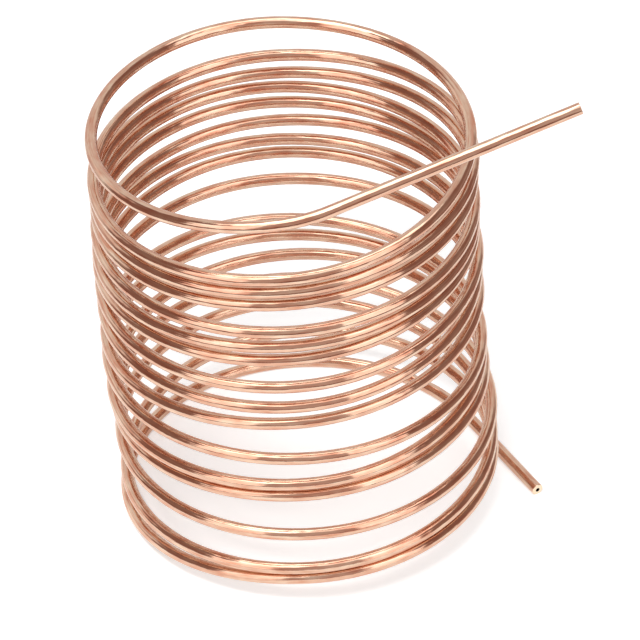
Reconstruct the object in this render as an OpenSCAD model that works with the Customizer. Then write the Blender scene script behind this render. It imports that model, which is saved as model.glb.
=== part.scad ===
// Immersion wort chiller: one soft copper tube, wound by hand into an open coil that stands on its
// lowest turn. Both ends are bare and are led out on the right, one low and one high, for a hose.
// Millimetres, +Z up, the ground at z = 0, the origin under the middle of the chiller's outline.

/* [Tube] */
// Outside diameter of the tube
tube_d = 9.5; // [8:0.1:12]
// Bore of the tube
bore_d = 3.4; // [2:0.1:6]

/* [Winding] */
// Diameter of the winding, between the centres of the tube
winding_d = 287; // [240:1:340]
// Air between turns where they are pressed together
turn_gap = 0.6; // [0.6:0.1:2]
// How far the lowest turn has climbed where it passes the front
first_climb = 25; // [15:1:40]
// How far the top of the winding has shifted sideways
lean = 25; // [0:1:30]
// Direction of that shift, counted from the right
lean_heading = 188; // [0:1:359]
// Depth of the flat under the tube where it lies on the ground
foot_flat = 0.5; // [0.3:0.1:1]

/* [Lower leg] */
// Where the lower leg leaves the ground turn, counted from the right
lower_leg_at = 31; // [10:1:60]
// Length of the lower leg
lower_leg_l = 92; // [60:1:150]

/* [Upper leg] */
// Angle at which the top turn climbs where it passes the front
front_rise = 10; // [6:1:16]
// How much further the top turn goes round before the upper leg
upper_leg_at = 15; // [8:1:30]
// Angle at which the upper leg rises
upper_leg_rise = 17; // [8:1:25]
// Length of the upper leg
upper_leg_l = 191; // [100:1:240]

/* [Hidden] */

// Air that each turn, from the ground up, leaves under the next one, beyond the least air. The
// turns were pulled apart by hand, so that they stand unevenly at the four sides.
right_air = [26, 6, 18, 30, 5, 4, 37, 11, 8, 16, 0, 3, 17, 7, 8];
back_air = [22, 21, 14, 15, 10, 6, 31, 17, 3, 9, 8, 5, 4, 7, 22];
left_air = [11, 30, 19, 6, 21, 11, 20, 11, 10, 2, 11, 7, 4, 4, 29];
front_air = [0, 25, 30, 1, 16, 26, 6, 10, 17, 3, 4, 17, 2, 2, 43];

// How far each turn, from the ground up, reaches out beyond the winding's radius at either side
right_reach = [0, -1, 1, 3, -1, -1, 1, 0, 0, 2, 0, 1, 2, 1, 2, 0];
left_reach = [2, -1, 0, 0, 1, 2, 1, 1, 1, 1, 0, 0, -1, -1, 0, 1];

// Cross-sections, called rings, in one turn, and the sides of the tube's skin and bore there
rings_a_turn = 24;
skin_sides = 6;
bore_sides = 5;

winding_r = winding_d / 2;
quarter_l = PI * winding_d / 4;
ground_z = tube_d / 2 - foot_flat;
turn_pitch = tube_d + turn_gap;

// Heights of the tube's centre at one side, from the lowest turn up
function side_heights(lowest, air) = [
    for (i = 0, z = lowest; i <= len(air); z = z + turn_pitch + (i < len(air) ? air[i] : 0), i = i + 1) z
];

// The same at every quarter turn, in the order in which the tube climbs through them
sides = [
    side_heights(ground_z, right_air),
    side_heights(ground_z, back_air),
    side_heights(ground_z, left_air),
    side_heights(ground_z + first_climb, front_air)
];
marks = [for (turn = [0:len(front_air)], side = [0:3]) sides[side][turn]];
top_mark = len(marks) - 1;
top_angle = 90 * top_mark;

// Climb a quarter turn at a mark: none where the tube still lies on the ground
function climb(mark) =
    mark < 3 ? 0
    : mark == top_mark ? quarter_l * tan(front_rise)
    : (marks[mark + 1] - marks[mark - 1]) / 2;

// Smooth height between two marks, at the share f of the way
function between_marks(mark, f) =
    marks[mark] * (1 + 2 * f) * pow(1 - f, 2) + climb(mark) * f * pow(1 - f, 2)
    + marks[mark + 1] * (3 - 2 * f) * pow(f, 2) - climb(mark + 1) * (1 - f) * pow(f, 2);

// Height past the top mark, where the tube bends up into the upper leg after the length s
leg_bend_l = winding_r * upper_leg_at * PI / 180;
function above_top(s) =
    marks[top_mark] + s * tan(front_rise)
    + (tan(upper_leg_rise) - tan(front_rise)) * pow(s, 2) / (2 * leg_bend_l);

function height(angle) =
    angle > top_angle ? above_top(winding_r * (angle - top_angle) * PI / 180)
    : let (mark = min(floor(angle / 90), top_mark - 1)) between_marks(mark, angle / 90 - mark);

// The winding's radius, which swells to the right or left side's reach and back in half a turn
reaches = [for (turn = [0:len(right_reach) - 1], side = [right_reach, left_reach]) side[turn]];
function radius(angle) =
    let (nearest_side = min(round(angle / 180), len(reaches) - 1))
    winding_r + reaches[nearest_side] * pow(cos(angle), 2);

// Centre of the tube after it has climbed through an angle, counted from the right of the ground
// turn. The winding shifts sideways quickly at first, and less and less towards the top.
function winding(angle) =
    let (up = min(angle / top_angle, 1), shift = lean * up * (2 - up))
    [
        radius(angle) * cos(angle) + shift * cos(lean_heading),
        radius(angle) * sin(angle) + shift * sin(lean_heading),
        height(angle)
    ];

// Direction in which the tube climbs there
heading_step = 0.25;
function unit(v) = v / norm(v);
function heading(angle) = unit(winding(angle + heading_step) - winding(angle - heading_step));

// The winding's rings as [centre, heading], with a straight length of one diameter at either end
first_angle = lower_leg_at;
last_angle = top_angle + upper_leg_at;
ring_steps = round((last_angle - first_angle) / 360 * rings_a_turn);
ring_angles = [for (i = [0:ring_steps]) first_angle + i * (last_angle - first_angle) / ring_steps];
low_heading = heading(first_angle);
high_heading = heading(last_angle);
low_end = winding(first_angle) - tube_d * low_heading;
high_end = winding(last_angle) + tube_d * high_heading;
rings = concat(
    [[low_end, low_heading]],
    [for (angle = ring_angles) [winding(angle), heading(angle)]],
    [[high_end, high_heading]]
);

// Corner radius of a many-sided tube that holds as much as the round one
function corner_r(d, count) = d / 2 * sqrt(2 * PI / (count * sin(360 / count)));

// Corners of one ring, square to its heading and in level pairs, kept off the ground below it
function ring_corners(ring, r, count) =
    let (out = unit(cross(ring[1], [0, 0, 1])), up = cross(out, ring[1]))
    [
        for (i = [0:count - 1])
        let (p = ring[0] + r * (cos(360 * i / count) * out + sin(360 * i / count) * up))
        [p.x, p.y, max(p.z, 0)]
    ];
skin = [for (ring = rings) each ring_corners(ring, corner_r(tube_d, skin_sides), skin_sides)];
bore = [for (ring = rings) each ring_corners(ring, corner_r(bore_d, bore_sides), bore_sides)];

// The outline's middle, which the whole chiller is moved to
leg_sides = 64;
low_tip = low_end - lower_leg_l * low_heading;
high_tip = high_end + upper_leg_l * high_heading;
outline = concat(
    skin,
    ring_corners([low_tip, low_heading], tube_d / 2, leg_sides),
    ring_corners([high_tip, high_heading], tube_d / 2, leg_sides)
);
middle = [
    for (axis = [0:1])
    (max([for (p = outline) p[axis]]) + min([for (p = outline) p[axis]])) / 2
];

// Air between the winding and itself: from each ring to the rings about one turn above it
function nearest(i) = min([
    for (j = [i + rings_a_turn / 2:min(i + 3 * rings_a_turn / 2, len(rings) - 1)])
    norm(rings[j][0] - rings[i][0])
]);
least_gap = min([for (i = [0:len(rings) - 1 - rings_a_turn / 2]) nearest(i)]) - tube_d;
echo(least_gap_between_turns = least_gap);

// Two triangles for each side of the skin between two rings; first is its lowest corner's number
function wall_faces(first, count, flip) = [
    for (ring = [0:len(rings) - 2], i = [0:count - 1])
    let (
        a = first + ring * count + i,
        b = first + ring * count + (i + 1) % count
    )
    each flip
        ? [[a, b, b + count], [a, b + count, a + count]]
        : [[b, a, b + count], [b + count, a, a + count]]
];

// The end face between the skin and the bore, as a fan that goes round both rings together
function end_faces(skin, bore, flip) = [
    for (i = [0:skin_sides - 1])
    let (
        s = [skin + i, skin + (i + 1) % skin_sides],
        b = [bore + i % bore_sides, bore + (i + 1) % bore_sides]
    )
    each flip
        ? [[s[1], s[0], b[0]], if (i < bore_sides) [s[1], b[0], b[1]]]
        : [[s[0], s[1], b[0]], if (i < bore_sides) [b[0], s[1], b[1]]]
];

module coil() {
    last_skin = len(skin) - skin_sides;
    last_bore = len(skin) + len(bore) - bore_sides;
    color([0.85, 0.5, 0.33])
    translate([-middle.x, -middle.y, 0])
    polyhedron(
        points = concat(skin, bore),
        faces = concat(
            wall_faces(0, skin_sides, false),
            wall_faces(len(skin), bore_sides, true),
            end_faces(0, len(skin), false),
            end_faces(last_skin, last_bore, true)
        )
    );
}

// A straight round tube that starts at a point and runs in a direction
module straight_tube(start, direction, length) {
    translate(start)
    rotate([0, acos(direction.z), atan2(direction.y, direction.x)])
    difference() {
        cylinder(d = tube_d, h = length, $fn = leg_sides);
        translate([0, 0, -1])
        cylinder(d = bore_d, h = length + 2, $fn = leg_sides);
    }
}

// The straight end of the tube that lies on the ground, flat underneath like the ground turn
module lower_leg() {
    room = lower_leg_l + tube_d;
    color([0.85, 0.5, 0.33])
    translate([-middle.x, -middle.y, 0])
    difference() {
        straight_tube(low_end, -low_heading, lower_leg_l);
        translate([low_end.x - room, low_end.y - room, -tube_d])
        cube([2 * room, 2 * room, tube_d]);
    }
}

// The straight end of the tube that rises out of the top turn
module upper_leg() {
    color([0.85, 0.5, 0.33])
    translate([-middle.x, -middle.y, 0])
    straight_tube(high_end, high_heading, upper_leg_l);
}

coil();
lower_leg();
upper_leg();
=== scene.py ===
# Immersion wort chiller: one soft copper tube, wound by hand into an open coil that stands on its
# lowest turn. Both bare ends are led out on the right, one low and one high, for a hose.
from math import cos, floor, pi, radians, sin, tan

import bpy
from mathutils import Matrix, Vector


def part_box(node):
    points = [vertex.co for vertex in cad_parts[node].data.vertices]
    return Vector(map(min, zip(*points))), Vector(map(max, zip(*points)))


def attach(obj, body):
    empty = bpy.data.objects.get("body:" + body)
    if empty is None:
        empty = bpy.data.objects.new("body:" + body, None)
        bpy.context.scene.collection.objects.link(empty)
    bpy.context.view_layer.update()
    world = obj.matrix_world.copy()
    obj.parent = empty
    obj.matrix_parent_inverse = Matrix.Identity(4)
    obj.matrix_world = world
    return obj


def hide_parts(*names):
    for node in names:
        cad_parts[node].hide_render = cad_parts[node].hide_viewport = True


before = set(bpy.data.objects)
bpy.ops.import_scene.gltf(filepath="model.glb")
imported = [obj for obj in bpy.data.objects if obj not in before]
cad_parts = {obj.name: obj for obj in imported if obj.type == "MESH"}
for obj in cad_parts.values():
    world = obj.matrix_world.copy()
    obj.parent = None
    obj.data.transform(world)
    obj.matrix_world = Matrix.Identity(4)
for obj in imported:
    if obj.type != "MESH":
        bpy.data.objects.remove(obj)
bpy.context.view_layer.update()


# ---- The winding -------------------------------------------------------------------------------
# Fifteen and two thirds turns of soft copper tube, bent round a drum from the ground up and then
# pulled apart by hand, so that the turns stand unevenly. Its lowest turn carries the whole coil.
mm = 0.001
tube_r = 4.75 * mm
bore_r = 1.7 * mm
winding_r = 143.5 * mm
turn_gap = 0.6 * mm
first_climb = 25 * mm
foot_flat = 0.5 * mm
lean = 25 * mm
lean_heading = radians(188)
lower_leg_at = 31
front_rise = radians(10)
upper_leg_at = 15
upper_leg_rise = radians(17)

# Air that each turn, from the ground up, leaves under the next one at the four sides, beyond
# the least air, in millimetres
right_air = [26, 6, 18, 30, 5, 4, 37, 11, 8, 16, 0, 3, 17, 7, 8]
back_air = [22, 21, 14, 15, 10, 6, 31, 17, 3, 9, 8, 5, 4, 7, 22]
left_air = [11, 30, 19, 6, 21, 11, 20, 11, 10, 2, 11, 7, 4, 4, 29]
front_air = [0, 25, 30, 1, 16, 26, 6, 10, 17, 3, 4, 17, 2, 2, 43]

# How far each turn reaches out beyond the winding's radius at either side, in millimetres
right_reach = [0, -1, 1, 3, -1, -1, 1, 0, 0, 2, 0, 1, 2, 1, 2, 0]
left_reach = [2, -1, 0, 0, 1, 2, 1, 1, 1, 1, 0, 0, -1, -1, 0, 1]


def side_heights(lowest, air):
    """Heights of the tube's centre at one side, from the lowest turn up."""
    heights = [lowest]
    for gap in air:
        heights.append(heights[-1] + 2 * tube_r + turn_gap + gap * mm)
    return heights


ground_z = tube_r - foot_flat
sides = [
    side_heights(ground_z, right_air),
    side_heights(ground_z, back_air),
    side_heights(ground_z, left_air),
    side_heights(ground_z + first_climb, front_air),
]
marks = [side[turn] for turn in range(len(front_air) + 1) for side in sides]
top_mark = len(marks) - 1
top_angle = 90 * top_mark


def climb(mark):
    """Climb a quarter turn at a mark: none where the tube still lies on the ground."""
    if mark < 3:
        return 0
    if mark == top_mark:
        return winding_r * pi / 2 * tan(front_rise)
    return (marks[mark + 1] - marks[mark - 1]) / 2


def height(angle):
    """Height of the tube's centre: smooth between the marks, and bending up past the last one."""
    if angle > top_angle:
        s = winding_r * radians(angle - top_angle)
        bend_l = winding_r * radians(upper_leg_at)
        bend = (tan(upper_leg_rise) - tan(front_rise)) * s * s / (2 * bend_l)
        return marks[top_mark] + s * tan(front_rise) + bend
    mark = min(floor(angle / 90), top_mark - 1)
    f = angle / 90 - mark
    rest = 1 - f
    return (
        marks[mark] * (1 + 2 * f) * rest * rest + climb(mark) * f * rest * rest
        + marks[mark + 1] * (3 - 2 * f) * f * f - climb(mark + 1) * rest * f * f
    )


reaches = [side[turn] for turn in range(len(right_reach)) for side in (right_reach, left_reach)]


def winding(angle):
    """The tube's centre after it has climbed through an angle, counted from the right."""
    nearest_side = min(floor(angle / 180 + 0.5), len(reaches) - 1)
    radius = winding_r + reaches[nearest_side] * mm * cos(radians(angle)) ** 2
    up = min(angle / top_angle, 1)
    shift = lean * up * (2 - up)
    return Vector((
        radius * cos(radians(angle)) + shift * cos(lean_heading),
        radius * sin(radians(angle)) + shift * sin(lean_heading),
        height(angle),
    ))


def heading(angle):
    """Direction in which the tube climbs there."""
    step = 0.25
    return (winding(angle + step) - winding(angle - step)).normalized()


# The coil's line, with a straight length of one diameter at either end
last_angle = top_angle + upper_leg_at
low_heading = heading(lower_leg_at)
high_heading = heading(last_angle)
low_end = winding(lower_leg_at) - 2 * tube_r * low_heading
high_end = winding(last_angle) + 2 * tube_r * high_heading
coil_line = [low_end, *(winding(angle) for angle in range(lower_leg_at, last_angle + 1)), high_end]
coil_l = sum((b - a).length for a, b in zip(coil_line, coil_line[1:]))
lower_leg_l = 92 * mm
upper_leg_l = 191 * mm

# The frame's origin is under the middle of the outline. The lower leg's box says where that is.
low_tip = low_end - lower_leg_l * low_heading
leg_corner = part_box("lower_leg")[0]
middle = Vector((
    low_end.x - tube_r * abs(low_heading.y) - leg_corner.x,
    low_tip.y - tube_r * abs(low_heading.x) - leg_corner.y,
    0,
))


class Wire:
    """A socket in a node tree. Sums written with it add their Math nodes to the tree."""

    def __init__(self, web, socket):
        self.web = web
        self.socket = socket

    def out(self, name):
        """Another output of the same node."""
        return Wire(self.web, self.socket.node.outputs[name])

    def sum(self, operation, *values):
        return self.web.add("ShaderNodeMath", {"operation": operation}, dict(enumerate(values)))

    def equals(self, number):
        return self.sum("COMPARE", self, number, 0.5)

    def is_below(self, number):
        return self.sum("LESS_THAN", self, number)

    def is_above(self, number):
        return self.sum("GREATER_THAN", self, number)

    def __add__(self, other):
        return self.sum("ADD", self, other)

    def __sub__(self, other):
        return self.sum("SUBTRACT", self, other)

    def __rsub__(self, other):
        return self.sum("SUBTRACT", other, self)

    def __mul__(self, other):
        return self.sum("MULTIPLY", self, other)

    __radd__ = __add__
    __rmul__ = __mul__


class Web:
    """A node tree that is filled node by node."""

    def __init__(self, tree):
        self.tree = tree

    def add(self, kind, settings=None, plugs=None):
        """Adds a node with its settings, then plugs values and wires into its inputs."""
        node = self.tree.nodes.new(kind)
        for name, value in (settings or {}).items():
            setattr(node, name, value)
        for name, value in (plugs or {}).items():
            inputs = node.inputs if isinstance(name, int) else {
                s.name: s for s in reversed(node.inputs) if s.enabled
            }
            if isinstance(value, Wire):
                self.tree.links.new(value.socket, inputs[name])
            else:
                inputs[name].default_value = value
        return Wire(self, next((s for s in node.outputs if s.enabled), None))


# The wall is turned as a straight tube and then laid along a line. The attribute "unbent" keeps
# each point's place on the straight tube, so that the marks of drawing follow the bends.
laying = bpy.data.node_groups.new("tube_laid_along_a_line", "GeometryNodeTree")
laying.is_modifier = True
for name, kind in (
    ("Line", "Geometry"), ("Radius", "Float"), ("Bore radius", "Float"), ("Start", "Float"),
    ("Rings", "Int"), ("Bore rings", "Int"), ("Sides", "Int"),
    ("Start rim", "Float"), ("End rim", "Float"), ("Material", "Material"),
):
    laying.interface.new_socket(name, in_out="INPUT", socket_type="NodeSocket" + kind)
laying.interface.new_socket("Tube", in_out="OUTPUT", socket_type="NodeSocketGeometry")
web = Web(laying)
given = web.add("NodeGroupInput")


def kept(geometry, name, value, kind):
    """The geometry with a value stored on its points."""
    return web.add("GeometryNodeStoreNamedAttribute", {"data_type": kind, "domain": "POINT"}, {
        "Geometry": geometry, "Name": name, "Value": value,
    })


def recalled(name, kind):
    """A stored value, read again further down the tree."""
    return web.add("GeometryNodeInputNamedAttribute", {"data_type": kind}, {"Name": name})


line = web.add("GeometryNodeMeshToCurve", {}, {"Mesh": given.out("Line")})
line = web.add("GeometryNodeSetCurveNormal", {"mode": "Z_UP"}, {"Curve": line})
length = web.add("GeometryNodeCurveLength", {}, {"Curve": line})

# The wall's outline, seen from the side: along the skin, across one end, back along the bore.
# Where the end is cut, the outer corner is rounded in a few steps.
rim_steps = 4
radius, bore_radius = given.out("Radius"), given.out("Bore radius")
corners = ((radius, 0), (radius, length), (bore_radius, length), (bore_radius, 0))
wall = web.add("GeometryNodeCurvePrimitiveQuadrilateral", {"mode": "POINTS"}, {
    f"Point {number}": web.add("ShaderNodeCombineXYZ", {}, {0: across, 1: along})
    for number, (across, along) in enumerate(corners, 1)
})
index = web.add("GeometryNodeInputIndex")
rings = given.out("Rings")
on_skin, on_bore = index.equals(0), index.equals(2)
cuts = on_skin * (rings - 1) + on_bore * (given.out("Bore rings") - 1)
wall = web.add("GeometryNodeSubdivideCurve", {}, {"Curve": wall, "Cuts": cuts})
wall = web.add("GeometryNodeFilletCurve", {"mode": "POLY"}, {
    "Curve": wall,
    "Count": rim_steps,
    "Radius": on_skin * given.out("Start rim") + index.equals(rings) * given.out("End rim"),
})
place = web.add("ShaderNodeSeparateXYZ", {}, {0: web.add("GeometryNodeInputPosition")})
wall = kept(wall, "from_axis", place.out("X"), "FLOAT")
wall = kept(wall, "along", place.out("Y"), "FLOAT")

# Turned round a circle. Corners sharper than this angle, in radians, aren't shaded smooth.
sharp_angle = 1.0
circle = web.add("GeometryNodeCurvePrimitiveCircle", {"mode": "RADIUS"}, {
    "Resolution": given.out("Sides"), "Radius": 1.0,
})
circle = kept(circle, "around", web.add("GeometryNodeInputPosition"), "FLOAT_VECTOR")
tube = web.add("GeometryNodeCurveToMesh", {}, {"Curve": circle, "Profile Curve": wall})
tube = web.add("GeometryNodeSetShadeSmooth", {"domain": "EDGE"}, {
    "Geometry": tube,
    "Shade Smooth": web.add("GeometryNodeInputMeshEdgeAngle").is_below(sharp_angle),
})

# Laid along the line, and pressed flat where it lies on the ground. The limits to the left and
# to the front, nine metres off, are never reached.
lowest_place = (-9, -9, 0)
along, from_axis = recalled("along", "FLOAT"), recalled("from_axis", "FLOAT")
around = web.add("ShaderNodeSeparateXYZ", {}, {0: recalled("around", "FLOAT_VECTOR")})
outwards, upwards = from_axis * around.out("X"), from_axis * around.out("Y")
tube = kept(tube, "unbent", web.add("ShaderNodeCombineXYZ", {}, {
    0: along + given.out("Start"), 1: outwards, 2: upwards,
}), "FLOAT_VECTOR")
there = web.add("GeometryNodeSampleCurve", {"mode": "LENGTH"}, {"Curves": line, "Length": along})
level = there.out("Normal")
steep = web.add("ShaderNodeVectorMath", {"operation": "CROSS_PRODUCT"}, {
    0: level, 1: there.out("Tangent"),
})
point = there.out("Position")
for direction, distance in ((level, outwards), (steep, upwards)):
    point = web.add("ShaderNodeVectorMath", {"operation": "MULTIPLY_ADD"}, {
        0: direction, 1: distance, 2: point,
    })
point = web.add("ShaderNodeVectorMath", {"operation": "MAXIMUM"}, {0: point, 1: lowest_place})
tube = web.add("GeometryNodeSetPosition", {}, {"Geometry": tube, "Position": point})
tube = web.add("GeometryNodeRealizeInstances", {}, {"Geometry": tube})
tube = web.add("GeometryNodeSetMaterial", {}, {"Geometry": tube, "Material": given.out("Material")})
web.add("NodeGroupOutput", {}, {"Tube": tube})


# Bright drawn copper: fine lines along the tube from the drawing die, a faint uneven bloom, and
# the shallow dents of bending it by hand
copper = bpy.data.materials.new("drawn_copper")
copper.use_nodes = True
copper.node_tree.nodes.clear()
web = Web(copper.node_tree)
unbent = web.add("ShaderNodeAttribute", {"attribute_name": "unbent"}).out("Vector")


def noise(stretch, detail):
    """Noise over the unbent tube, with so many cells a metre along it and across it."""
    place = web.add("ShaderNodeVectorMath", {"operation": "MULTIPLY"}, {0: unbent, 1: stretch})
    return web.add("ShaderNodeTexNoise", {}, {"Vector": place, "Scale": 1.0, "Detail": detail})


die_lines = noise((30, 560, 560), 4.0)
bloom = noise((60, 200, 200), 2.0)
dents = noise((60, 110, 110), 1.0)

# Noise averages a half, so that the two tones share the skin about evenly
red_tone = (0.62, 0.26, 0.16, 1)
pale_tone = (0.84, 0.66, 0.5, 1)
colour = web.add("ShaderNodeMix", {"data_type": "RGBA"}, {
    "Factor": bloom * 1.2 + die_lines * 1.4 - 0.8, "A": red_tone, "B": pale_tone,
})

# The metal is paler where both ends have been freshly cut
cut_tone = (0.95, 0.77, 0.57, 1)
cut_depth = 0.2 * mm
along_tube = web.add("ShaderNodeSeparateXYZ", {}, {0: unbent}).out("X")
cut_low = along_tube.is_below(cut_depth - lower_leg_l)
cut_high = along_tube.is_above(coil_l + upper_leg_l - cut_depth)
colour = web.add("ShaderNodeMix", {"data_type": "RGBA"}, {
    "Factor": cut_low + cut_high, "A": colour, "B": cut_tone,
})

line_depth = 0.12 * mm
dent_depth = 0.5 * mm
bump = web.add("ShaderNodeBump", {}, {
    "Strength": 1.0, "Distance": line_depth, "Height": die_lines,
})
bump = web.add("ShaderNodeBump", {}, {
    "Strength": 1.0, "Distance": dent_depth, "Height": dents, "Normal": bump,
})
metal = web.add("ShaderNodeBsdfPrincipled", {}, {
    "Base Color": colour, "Metallic": 1.0, "Roughness": bloom * 0.08 + 0.05, "Normal": bump,
})
web.add("ShaderNodeOutputMaterial", {}, {"Surface": metal})

# Facets round the tube, and rings in one turn of its skin and of its bore
tube_sides = 30
rings_a_turn, bore_rings_a_turn = 120, 30


def laid_tube(name, line, start, rings, bore_rings, start_rim=0.0, end_rim=0.0):
    """A piece of tube along a line of points, which begins so far along the whole tube."""
    points = [point - middle for point in line]
    mesh = bpy.data.meshes.new(name)
    mesh.from_pydata(points, [(i, i + 1) for i in range(len(points) - 1)], [])
    piece = bpy.data.objects.new(name, mesh)
    bpy.context.scene.collection.objects.link(piece)
    modifier = piece.modifiers.new("tube", "NODES")
    modifier.node_group = laying
    sizes = {
        "Radius": tube_r, "Bore radius": bore_r, "Start": start,
        "Rings": rings, "Bore rings": bore_rings, "Sides": tube_sides,
        "Start rim": start_rim, "End rim": end_rim, "Material": copper,
    }
    for item in laying.interface.items_tree:
        if item.name in sizes:
            modifier[item.identifier] = sizes[item.name]
    shown = piece.evaluated_get(bpy.context.evaluated_depsgraph_get())
    piece.data = bpy.data.meshes.new_from_object(shown)
    piece.modifiers.clear()
    for spare in ("from_axis", "along", "around"):
        piece.data.attributes.remove(piece.data.attributes[spare])
    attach(piece, "root")
    return piece


turns = (last_angle - lower_leg_at) / 360
coil_rings, coil_bore_rings = round(rings_a_turn * turns), round(bore_rings_a_turn * turns)
coil = laid_tube("coil_tube", coil_line, 0.0, coil_rings, coil_bore_rings)
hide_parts("coil")


# ---- The lower leg -----------------------------------------------------------------------------
# The straight end of the same tube, led out along the ground on the right. It is cut square with
# a tube cutter, which leaves its rim a little round.
cut_rim = 0.5 * mm
leg_rings, leg_bore_rings = 8, 4
lower_leg = laid_tube(
    "lower_leg_tube", [low_tip, low_end], -lower_leg_l, leg_rings, leg_bore_rings, start_rim=cut_rim
)
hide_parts("lower_leg")


# ---- The upper leg -----------------------------------------------------------------------------
# The other straight end, which rises out of the top turn and passes over the coil to the right.
# It is cut square in the same way.
high_tip = high_end + upper_leg_l * high_heading
upper_leg = laid_tube(
    "upper_leg_tube", [high_end, high_tip], coil_l, leg_rings, leg_bore_rings, end_rim=cut_rim
)
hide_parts("upper_leg")


# ---- Floor, light and camera -------------------------------------------------------------------
# A white table in a studio: two tall soft windows in front, a pale ceiling, a white wall behind
# and brown shade on both sides. What the camera sees beyond the object is plain white.
table_w, table_front, table_back = 1.6, -1.1, 2.5
floor_mesh = bpy.data.meshes.new("table_top")
floor_mesh.from_pydata([
    (-table_w / 2, table_front, 0), (table_w / 2, table_front, 0),
    (table_w / 2, table_back, 0), (-table_w / 2, table_back, 0),
], [], [(0, 1, 2, 3)])
table_top = bpy.data.objects.new("table_top", floor_mesh)
bpy.context.scene.collection.objects.link(table_top)


def seen_rays():
    """Rays that show the background: the camera's, and those from shiny and clear things."""
    rays = web.add("ShaderNodeLightPath")
    return rays.out("Is Camera Ray"), rays.out("Is Glossy Ray") + rays.out("Is Transmission Ray")


# Matt white paper, which glows where it is looked at, so that it shows white to the camera and
# pale in the metal
white = (1, 1, 1, 1)
paper_white = (0.85, 0.85, 0.85, 1)
glow_for_camera, glow_for_metal = 0.47, 0.25
paper = bpy.data.materials.new("white_paper")
paper.use_nodes = True
paper.node_tree.nodes.clear()
web = Web(paper.node_tree)
by_camera, by_metal = seen_rays()
matt = web.add("ShaderNodeBsdfDiffuse", {}, {"Color": paper_white})
glow = web.add("ShaderNodeEmission", {}, {
    "Color": white, "Strength": by_camera * glow_for_camera + by_metal * glow_for_metal,
})
web.add("ShaderNodeOutputMaterial", {}, {
    "Surface": web.add("ShaderNodeAddShader", {}, {0: matt, 1: glow}),
})
floor_mesh.materials.append(paper)

world = bpy.data.worlds.new("studio")
bpy.context.scene.world = world
world.use_nodes = True
world.node_tree.nodes.clear()
web = Web(world.node_tree)
towards = web.add("ShaderNodeTexCoord").out("Generated")
upward = web.add("ShaderNodeSeparateXYZ", {}, {0: towards}).out("Z")
level = web.add("ShaderNodeVectorMath", {"operation": "MULTIPLY"}, {0: towards, 1: (1, 1, 0)})
level = web.add("ShaderNodeVectorMath", {"operation": "NORMALIZE"}, {0: level})


def edge(value, start, end):
    """A soft edge: nothing before the start, all of it past the end."""
    return web.add("ShaderNodeMapRange", {"interpolation_type": "SMOOTHSTEP"}, {
        "Value": value, "From Min": start, "From Max": end, "To Min": 0.0, "To Max": 1.0,
    })


def panel(azimuth, half_width, low, high, softness):
    """Share of a direction that looks at an upright panel, with all of its limits in degrees."""
    way = (cos(radians(azimuth)), sin(radians(azimuth)), 0)
    facing = web.add("ShaderNodeVectorMath", {"operation": "DOT_PRODUCT"}, {0: level, 1: way})
    narrow, wide = half_width - softness, half_width + softness
    across = edge(facing.out("Value"), cos(radians(wide)), cos(radians(narrow)))
    above = edge(upward, sin(radians(low - softness)), sin(radians(low + softness)))
    below = edge(upward, sin(radians(high + softness)), sin(radians(high - softness)))
    return across * above * below


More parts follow.
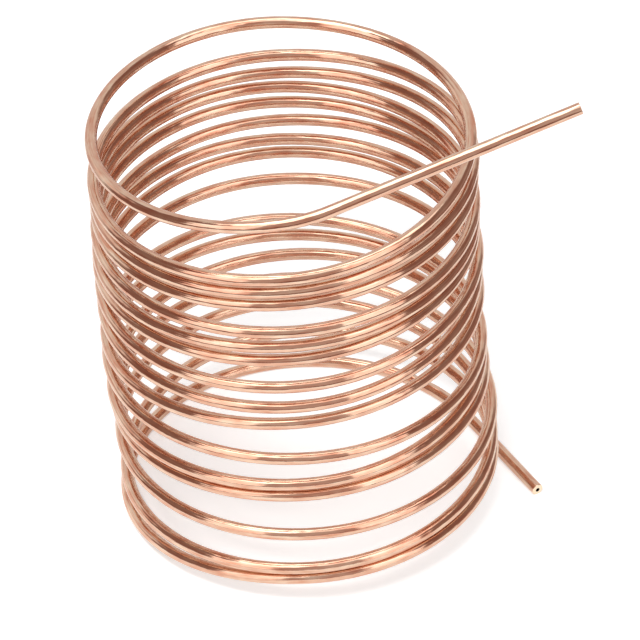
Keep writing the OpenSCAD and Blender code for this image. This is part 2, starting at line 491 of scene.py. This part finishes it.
# The front is at -90 degrees, the right at 0 and the back at 90
lower_panes = panel(-132, 17, 0, 30, 4) + panel(-45, 16, 0, 30, 4)
upper_panes = panel(-139, 20, 30, 60, 4) + panel(-42, 19, 30, 68, 4)
between_panes = panel(-88, 30, 0, 60, 5)
left_corner = panel(150, 15, 5, 28, 5)
ceiling = edge(upward, sin(radians(56)), sin(radians(68)))
back_ceiling = panel(95, 80, 66, 89, 6)
left_ceiling = panel(180, 70, 60, 82, 3)
right_side = panel(0, 40, -5, 15, 8)
room = (
    1.25 * lower_panes + 1.4 * upper_panes + 0.3 * between_panes + 0.6 * left_corner
    + 1.2 * ceiling + 1.2 * back_ceiling + 1.7 * left_ceiling + 0.1 * right_side
)
wall_behind = panel(103, 55, -20, 25, 8) + panel(97, 45, 25, 58, 8)

# The room lights the paper a little less than the metal shows it. The metal also sees a brown
# shade all round, and three quarters of the page's white on the wall behind.
shade = (0.29, 0.18, 0.155, 1)
by_camera, by_metal = seen_rays()
lit = web.add("ShaderNodeBackground", {}, {
    "Color": white, "Strength": room * (by_metal * 0.2 + 0.8),
})
unlit = web.add("ShaderNodeBackground", {}, {"Color": shade, "Strength": by_metal})
studio = web.add("ShaderNodeAddShader", {}, {0: lit, 1: unlit})
page = web.add("ShaderNodeBackground", {}, {"Color": white, "Strength": 1.0})
page_share = by_camera + by_metal * wall_behind * 0.75
web.add("ShaderNodeOutputWorld", {}, {
    "Surface": web.add("ShaderNodeMixShader", {}, {0: page_share, 1: studio, 2: page}),
})


# Two soft lamps, high up in front and to the left, cast the shadow
lamp_elevation, lamp_distance = radians(61), 2.4
lamp_size, lamp_watts = 0.4, 15
for name, azimuth in (("left_lamp", -120), ("right_lamp", -94)):
    way = Vector((cos(radians(azimuth)), sin(radians(azimuth)), tan(lamp_elevation))).normalized()
    light = bpy.data.lights.new(name, "AREA")
    light.size = lamp_size
    light.energy = lamp_watts
    lamp = bpy.data.objects.new(name, light)
    lamp.visible_glossy = False
    lamp.location = lamp_distance * way
    lamp.rotation_euler = way.to_track_quat("Z", "Y").to_euler()
    bpy.context.scene.collection.objects.link(lamp)

# The camera looks down on the chiller from the front, from far away
camera_height = radians(40)
camera_distance = 6.1775
camera_aim = Vector((-0.0081, 0.0842, 0.0982))
lens = bpy.data.cameras.new("camera")
lens.sensor_width = 36
lens.lens = 441.9
lens.clip_end = 50
camera = bpy.data.objects.new("camera", lens)
camera.location = camera_aim + camera_distance * Vector((0, -cos(camera_height), sin(camera_height)))
camera.rotation_euler = (pi / 2 - camera_height, 0, 0)
bpy.context.scene.collection.objects.link(camera)
bpy.context.scene.camera = camera
bpy.context.scene.view_settings.view_transform = "Standard"
